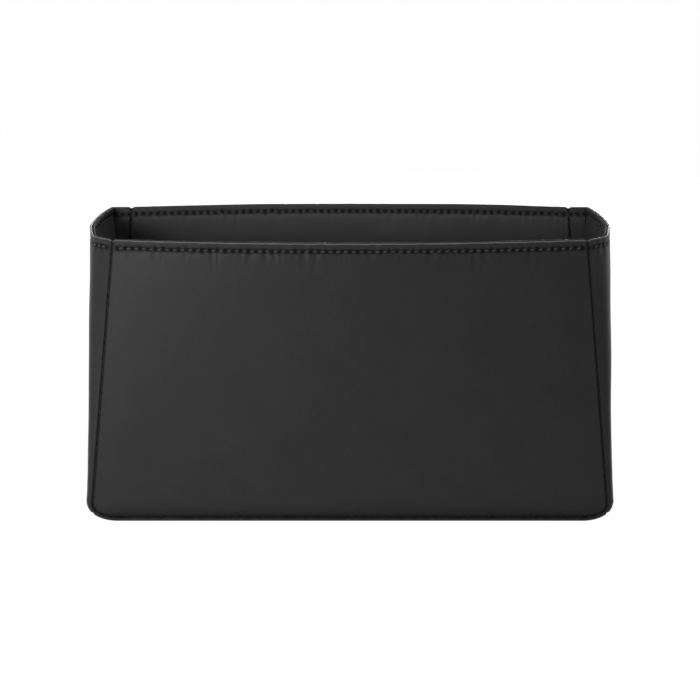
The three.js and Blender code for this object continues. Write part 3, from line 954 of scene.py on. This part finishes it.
def base_cloth():
    """Outer cloth of the base: the strip's section carried from one bottom corner to the other, with
    painted shade at its seams and a painted shadow where it is low and near a seam, by bells of its height
    and of the squared distance."""
    turns = np.linspace(BASE_SEAM_TURN, math.pi / 2, BASE_TURN_ROWS)
    middle = np.linspace(-STRAIGHT_HALF, STRAIGHT_HALF, BASE_ROWS)[1:-1]
    station = -np.concatenate([turns, np.full(len(middle), math.pi / 2), turns[::-1]])[:, None]
    side = np.concatenate([-np.ones(len(turns)), np.zeros(len(middle)), np.ones(len(turns))])[:, None]
    u = strip_columns()
    ahead, distance = strip_lengths(station, u)
    end_distance = (-BASE_SEAM_TURN - station) * CORNER_LENGTH
    dip = np.maximum(seam_dip(distance / ROLL_DIP_WIDTH), BASE_SEAM_SHARE * seam_dip(end_distance))
    ridge = seam_ridge(distance) * BASE_RIDGE_SHARE

    def whole(depth):
        """The strip's points, with the stretch between the corners set out along X."""
        points = strip_points(station, u, depth)
        x = points[..., 0] * side
        x[len(turns):-len(turns)] = middle[:, None]
        points[..., 0] = x
        return points

    face = whole(dip - ridge)
    face[..., 2] = np.maximum(face[..., 2], 0)
    uv = cloth_uv(face[..., 0], face[..., 1] + HEIGHT / 2)
    # Painted shade along the seams, and a painted shadow on the low underside of the roll
    under = bell(face[..., 2], UNDER_HEIGHT) * bell(distance**2, UNDER_REACH**2)
    shade = np.maximum.reduce([seam_shade(distance, face[..., 0]), seam_shade(end_distance, ahead), under])
    piece = put_sheet("base_cloth", face, whole(CLOTH + dip), uv, satin, shade=shade)
    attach(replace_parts(piece, "outer_base_panel"), "base")
    return piece


def banded(low, high, band):
    """Values from low to high, close together in a band at each end."""
    flat = (high - band, LINING_FLAT_STEP)
    return spread(low, (low + band, LINING_FINE_STEP), flat, (high, LINING_FINE_STEP))


def base_lining():
    """Lining of the base: flat with a slight swell, turned up a little at its ends to meet the gussets."""
    low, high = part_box("lining_base_panel")
    half_x = high.x + LINING_END_REACH
    x = banded(-half_x, half_x, LINING_END_BAND)[None, :]
    y = banded(low.y, high.y, LINING_SIDE_BAND)[:, None]
    x, y = np.broadcast_arrays(x, y)
    inset = np.minimum(half_x - np.abs(x), high.y - np.abs(y))
    past_straight = np.clip((np.abs(x) - STRAIGHT_HALF) / (half_x - STRAIGHT_HALF), 0, 1)
    turned_up = LINING_TURN_UP * past_straight**2
    y = y * (1 - (LINING_CLEAR + LINING_EASE * turned_up) / high.y)
    lift = swell(x, y, BASE_LINING_SWELL) * (1 - bell(inset, LINING_HOLD))
    soft_edge = LINING_EDGE_DROP * np.exp(-inset / LINING_EDGE_WIDTH)
    over = np.stack([x, y, high.z + lift + turned_up - soft_edge], -1)
    under = np.stack([x, y, low.z + turned_up], -1)
    piece = put_sheet("base_lining_cloth", over, under, cloth_uv(x, y + HEIGHT / 2), lining_satin)
    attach(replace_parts(piece, "lining_base_panel"), "base")
    return piece


base_cloth()
base_lining()
show_board("base_board")


# Pockets

POCKET_LOW, POCKET_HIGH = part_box("front_slip_pocket")
POCKET_HALF = POCKET_HIGH.x
POCKET_FOOT = POCKET_LOW.z
POCKET_TOP = POCKET_HIGH.z
POCKET_CLOTH = 0.8 * MM
POCKET_LIFT = WALL + 0.9 * MM
POCKET_EASE = 2.5 * MM
POCKET_MARGIN = 3 * MM
POCKET_HOLD = 8 * MM
POCKET_THINNING = 0.3 * MM
POCKET_THIN_WIDTH = 0.4 * MM
POCKET_PULL_SHARE = 0.42
POCKET_STEP = 2.5 * MM
POCKET_ROW_STEP = 0.5 * MM
POCKET_EDGE_STEP = 0.4 * MM
DIVIDER_BAND = 3 * MM
POCKET_SIDE_BAND = 5 * MM
POCKET_FOOT_BAND = 6 * MM
POCKET_MOUTH_BAND = 7 * MM


def pocket_depth(x, z):
    """Each half of the pocket stands off the lining, most at the middle of its mouth."""
    share = np.clip((z - POCKET_FOOT) / (POCKET_TOP - POCKET_FOOT), 0, 1)
    return POCKET_LIFT + POCKET_EASE * share * np.sin(math.pi * x / POCKET_HALF) ** 2


def pocket_pull(x, z):
    """The rows of stitches round the pocket and down its middle draw it in."""
    sides = np.minimum(POCKET_HALF - POCKET_MARGIN - np.abs(x), np.abs(x))
    foot = z - POCKET_FOOT - POCKET_MARGIN
    across = stitch_pull(z, sides)
    along = stitch_pull(x, foot) + stitch_pull(x, z - POCKET_TOP + HEM_ROW)
    return POCKET_PULL_SHARE * np.maximum(across, along)


def pocket_cloth(side):
    """A slip pocket: a doubled cloth with round edges that lies on the lining and eases at its mouth."""
    turned = WALL_TURN[side]
    near_side = (POCKET_HALF - POCKET_SIDE_BAND, PANEL_STEP)
    x = both_ways(spread(0, (DIVIDER_BAND, POCKET_ROW_STEP), near_side, (POCKET_HALF, POCKET_EDGE_STEP)))
    over_foot = (POCKET_FOOT + POCKET_FOOT_BAND, POCKET_ROW_STEP)
    under_mouth = (POCKET_TOP - POCKET_MOUTH_BAND, POCKET_STEP)
    z = spread(POCKET_FOOT, over_foot, under_mouth, (POCKET_TOP, POCKET_EDGE_STEP))[:, None]
    x, z = np.broadcast_arrays(x, z)
    edge = np.minimum(np.minimum(POCKET_HALF - np.abs(x), z - POCKET_FOOT), POCKET_TOP - z)
    thin = POCKET_THINNING * np.exp(-edge / POCKET_THIN_WIDTH)
    depth = pocket_depth(x, z)
    lift = swell(x, z, POCKET_SWELL, turned[0]) * (1 - bell(edge, POCKET_HOLD))
    face = wall_points(x, z, depth + thin + lift)
    behind = wall_points(x, z, depth + POCKET_CLOTH - thin + lift - pocket_pull(x, z))
    piece = put_sheet(f"{side}_pocket_cloth", face, behind, cloth_uv(x, z), lining_satin, turned)
    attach(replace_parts(piece, f"{side}_slip_pocket"), f"{side}_wall")
    return piece


for wall in WALL_TURN:
    pocket_cloth(wall)


# Stitches

STITCH_GAP = 1.8 * MM
STITCH_SLANT = 0.22 * MM
STITCH_LEAN = 0.6
STITCH_SHIFT = 0.12 * MM
STITCH_TIGHT = 0.05 * MM
STITCH_ODDEST = 2
STITCH_BED = 0.66 * MM
STITCH_RISE = 0.6 * MM
STITCH_SINK = 0.52 * MM
STITCH_RINGS = 8
STITCH_SIDES = 6
ARCH_POWER = 0.55
ARCH_END = 0.001
THREAD_RADIUS = 0.25 * MM
THREAD_END = 0.45
POCKET_BED = POCKET_PULL_SHARE * STITCH_BED
RIM_ROW_INSET = 2 * MM
GUSSET_ROW_INSET = 1.5 * MM
POCKET_HEM_INSET = 5 * MM
POCKET_FOOT_INSET = 4 * MM
UPRIGHT_INSET = 1 * MM
ROW_STOPS = ((1, 0.004), (2, 0.01), (3, 0.05), (4, 0.05))


def stitch_row(name, points_at, low, high, flip, lift_sign, bed=STITCH_BED):
    """A row of lockstitches: each a short thread that rises from one needle hole and sinks into the next.

    points_at(along, across, depth) gives places; a stitch's height is a half sine over the bed that it lies
    in, its radius narrows at its ends, and it slants a little across the row."""
    start = STITCH_PITCH * math.ceil(low / STITCH_PITCH)
    count = int((high - start) / STITCH_PITCH)
    rings = np.linspace(0, 1, STITCH_RINGS)[None, :, None]
    turn = np.linspace(0, 2 * math.pi, STITCH_SIDES + 1)[None, None, :-1]
    odd = np.random.default_rng(count).normal(0, 1, (3, count, 1, 1))
    shift, lean, tight = odd.clip(-STITCH_ODDEST, STITCH_ODDEST)
    first = start + STITCH_PITCH * np.arange(count)[:, None, None] + STITCH_SHIFT * shift
    along = first + STITCH_GAP / 2 + (STITCH_PITCH - STITCH_GAP) * rings
    arch = np.sin(math.pi * np.clip(rings, ARCH_END, 1 - ARCH_END)) ** ARCH_POWER
    radius = THREAD_RADIUS * (THREAD_END + (1 - THREAD_END) * arch)
    slant = STITCH_SLANT * (1 + STITCH_LEAN * lean) * (2 * rings - 1)
    height = STITCH_RISE * arch - STITCH_SINK + THREAD_RADIUS - bed + STITCH_TIGHT * tight
    across = slant + radius * np.sin(turn)
    out = height + radius * np.cos(turn)
    along, across, out = np.broadcast_arrays(along, across, out)
    points = points_at(along, across, lift_sign * out) * np.array([flip[0], flip[1], 1])
    ring = np.arange(STITCH_RINGS * STITCH_SIDES).reshape(STITCH_RINGS, STITCH_SIDES)
    quads = grid_quads(np.concatenate([ring, ring[:, :1]], axis=1))
    base = (np.arange(count) * ring.size)[:, None]
    tube = (quads[None] + base[:, None]).reshape(-1, 4)
    start_cap = ring[0, ::-1] + base
    end_cap = ring[-1] + base
    faces = [*tube.tolist(), *start_cap.tolist(), *end_cap.tolist()]
    if flip[0] * flip[1] * lift_sign < 0:
        faces = [f[::-1] for f in faces]
    uv = cloth_uv(along, turn / (2 * math.pi) + 0 * along)
    thread = needle_thread if lift_sign > 0 else bobbin_thread
    piece = put_mesh(name, points, faces, uv, thread, THREAD_SHARP_DEG)
    return piece


def outer_face(along, level):
    """Depth of the outer face."""
    return 0 * along


def lining_face(along, level):
    """Depth of the lining's face."""
    return WALL + 0 * along


def pocket_face(along, level):
    """Depth of a pocket's face."""
    return pocket_depth(along, level) + POCKET_CLOTH


# Threads of a rim row: name of its stitches and of its solid, the face that it lies on, and its way out
RIM_THREADS = (("stitches", "thread", outer_face, 1), ("bobbin_stitches", "bobbin_thread", lining_face, -1))


def wall_row(name, side, z, half, face, lift_sign, bed=STITCH_BED):
    """A level row on a face of a wall or its pocket."""
    def points_at(along, across, out):
        """Places out from the face."""
        level = z + across
        return wall_points(along, level, face(along, level) - out)

    piece = stitch_row(name, points_at, -half, half, WALL_TURN[side], lift_sign, bed)
    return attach(piece, f"{side}_wall")


def upright_row(name, side, x, low, high):
    """An upright row on a pocket."""
    def points_at(along, across, out):
        """Places out from the pocket's face."""
        return wall_points(x + across, along, pocket_face(x, along) - out)

    piece = stitch_row(name, points_at, low, high, WALL_TURN[side], -1, POCKET_BED)
    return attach(piece, f"{side}_wall")


def rim_rows(side):
    """The two threads of the rim row on a wall."""
    half = float(panel_half(np.array(STITCH_HEIGHT))) - RIM_ROW_INSET
    for stitches, thread, face, lift_sign in RIM_THREADS:
        row = wall_row(f"{side}_rim_{stitches}", side, STITCH_HEIGHT, half, face, lift_sign)
        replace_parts(row, f"{side}_rim_{thread}")


def pocket_rows(side):
    """The rows that hem a pocket, hold it at its foot and sides and part it in the middle."""
    hem_z = POCKET_TOP - HEM_ROW
    half = POCKET_HALF - POCKET_HEM_INSET
    row = wall_row(f"{side}_pocket_hem_stitches", side, hem_z, half, pocket_face, -1, POCKET_BED)
    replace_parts(row, f"{side}_pocket_hem_thread")
    foot_z = POCKET_FOOT + POCKET_MARGIN
    half = POCKET_HALF - POCKET_FOOT_INSET
    row = wall_row(f"{side}_pocket_foot_stitches", side, foot_z, half, pocket_face, -1, POCKET_BED)
    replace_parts(row, f"{side}_pocket_seam_thread")
    low = foot_z + UPRIGHT_INSET
    edge_x = POCKET_HALF - POCKET_MARGIN
    for label, x in (("left", -edge_x), ("right", edge_x)):
        upright_row(f"{side}_pocket_{label}_stitches", side, x, low, POCKET_TOP - UPRIGHT_INSET)
    row = upright_row(f"{side}_pocket_divider_stitches", side, 0.0, low, hem_z - UPRIGHT_INSET)
    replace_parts(row, f"{side}_pocket_divider_thread")


def gusset_row(name, end, side, face, lift_sign):
    """The rim row round half a gusset, between its seam and the split."""
    u = spread(0, *ROW_STOPS)[None, :]
    lengths = strip_lengths(np.array([[STITCH_HEIGHT]]), u)[0][0]
    split = float(np.interp(SPLIT, u[0], lengths))
    stretches = {"front": (GUSSET_ROW_INSET, split), "back": (split, lengths[-1] - GUSSET_ROW_INSET)}
    low, high = stretches[side]

    def points_at(along, across, out):
        """Places out from the face, found by their length along the strip."""
        level = STITCH_HEIGHT + across
        return strip_points(level, np.interp(along, lengths, u[0]), face(along, level) - out)

    piece = stitch_row(name, points_at, low, high, (ENDS[end], 1), lift_sign)
    return follow_wall(piece)


def gusset_rim_rows(end):
    """The two threads of the rim row on each half of a gusset."""
    for side in WALL_TURN:
        for stitches, thread, face, lift_sign in RIM_THREADS:
            row = gusset_row(f"{end}_gusset_{side}_{stitches}", end, side, face, lift_sign)
            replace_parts(row, f"{end}_rim_{thread}")


for wall in WALL_TURN:
    rim_rows(wall)
    pocket_rows(wall)

for gusset_end in ENDS:
    gusset_rim_rows(gusset_end)


# Stage

FLOOR_HALF = 6.0
FLOOR_DROP = 0.2 * MM
FLOOR_FINISH = {"Base Color": (0.9, 0.9, 0.9, 1), "Roughness": 0.9}
FLOOR_GLOW = 1.055
FLOOR_SHARE = 0.93
FILL = 0.052
WHITE = (1, 1, 1, 1)
WHITE_RAYS = ("Camera", "Glossy", "Transmission")
MIDDLE = (0, 0, HEIGHT / 2)


def lamp(name, place, aim, size, power):
    """A rectangular lamp at a place that shines at its aim."""
    data = bpy.data.lights.new(name, "AREA")
    data.shape = "RECTANGLE"
    data.size, data.size_y = size
    data.energy = power
    made = bpy.data.objects.new(name, data)
    made.location = place
    way = Vector(aim) - Vector(place)
    made.rotation_euler = way.to_track_quat("-Z", "Y").to_euler()
    bpy.context.scene.collection.objects.link(made)


def shown_white(tree):
    """1 for rays that show the white surround: from the camera, off gloss, or through something clear."""
    rays = [add_node(tree, "ShaderNodeLightPath", {}, {}, out=f"Is {kind} Ray") for kind in WHITE_RAYS]
    seen, mirrored, through = rays
    return seen.most(mirrored).most(through)


def white_ground():
    """A pale floor that looks white to the camera and still takes a soft shadow."""
    corners = FLOOR_HALF * np.array([[-1, -1], [1, -1], [1, 1], [-1, 1]])
    points = np.column_stack([corners, np.full(len(corners), -FLOOR_DROP)])
    finish = Finish("white_floor", FLOOR_FINISH)
    pale = Value(finish.tree, finish.shader.outputs["BSDF"])
    glow = finish.add("ShaderNodeEmission", {}, {"Color": WHITE, "Strength": FLOOR_GLOW})
    shown = shown_white(finish.tree) * FLOOR_SHARE
    mixed = finish.add("ShaderNodeMixShader", {}, {0: shown, 1: pale, 2: glow})
    finish.tree.links.new(mixed.socket, finish.tree.nodes["Material Output"].inputs["Surface"])
    floor = put_mesh("floor", points, [[0, 1, 2, 3]], corners, finish.material)


def white_world():
    """The world is white to the camera and in gloss, and a soft fill for everything else."""
    world = bpy.data.worlds.new("studio")
    world.use_nodes = True
    tree = world.node_tree
    back = tree.nodes["Background"]
    back.inputs["Color"].default_value = WHITE
    strength = FILL + (1 - FILL) * shown_white(tree)
    tree.links.new(strength.socket, back.inputs["Strength"])
    bpy.context.scene.world = world


def photo_camera():
    """The photograph's camera: square to the front and pitched down."""
    data = bpy.data.cameras.new("photo_camera")
    data.lens = CAMERA_LENS
    data.sensor_width = CAMERA_SENSOR
    made = bpy.data.objects.new("photo_camera", data)
    made.location = CAMERA_PLACE
    made.rotation_euler = (math.pi / 2 - CAMERA_PITCH, 0, 0)
    bpy.context.scene.collection.objects.link(made)
    bpy.context.scene.camera = made


lamp("left_softbox", place=(-0.3, -0.46, 0.185), aim=(-0.08, -0.12, 0), size=(0.2, 0.2), power=1.95)
lamp("top_strip", place=(0, -0.03, 0.7), aim=MIDDLE, size=(0.3, 0.05), power=1.6)
lamp("rear_softbox", place=(0.1, 0.9, 0.12), aim=MIDDLE, size=(0.6, 0.2), power=4.8)
lamp("right_softbox", place=(0.75, 0.32, 0.12), aim=MIDDLE, size=(0.2, 0.2), power=0.45)
white_ground()
white_world()
photo_camera()
bpy.context.scene.view_settings.view_transform = "Standard"
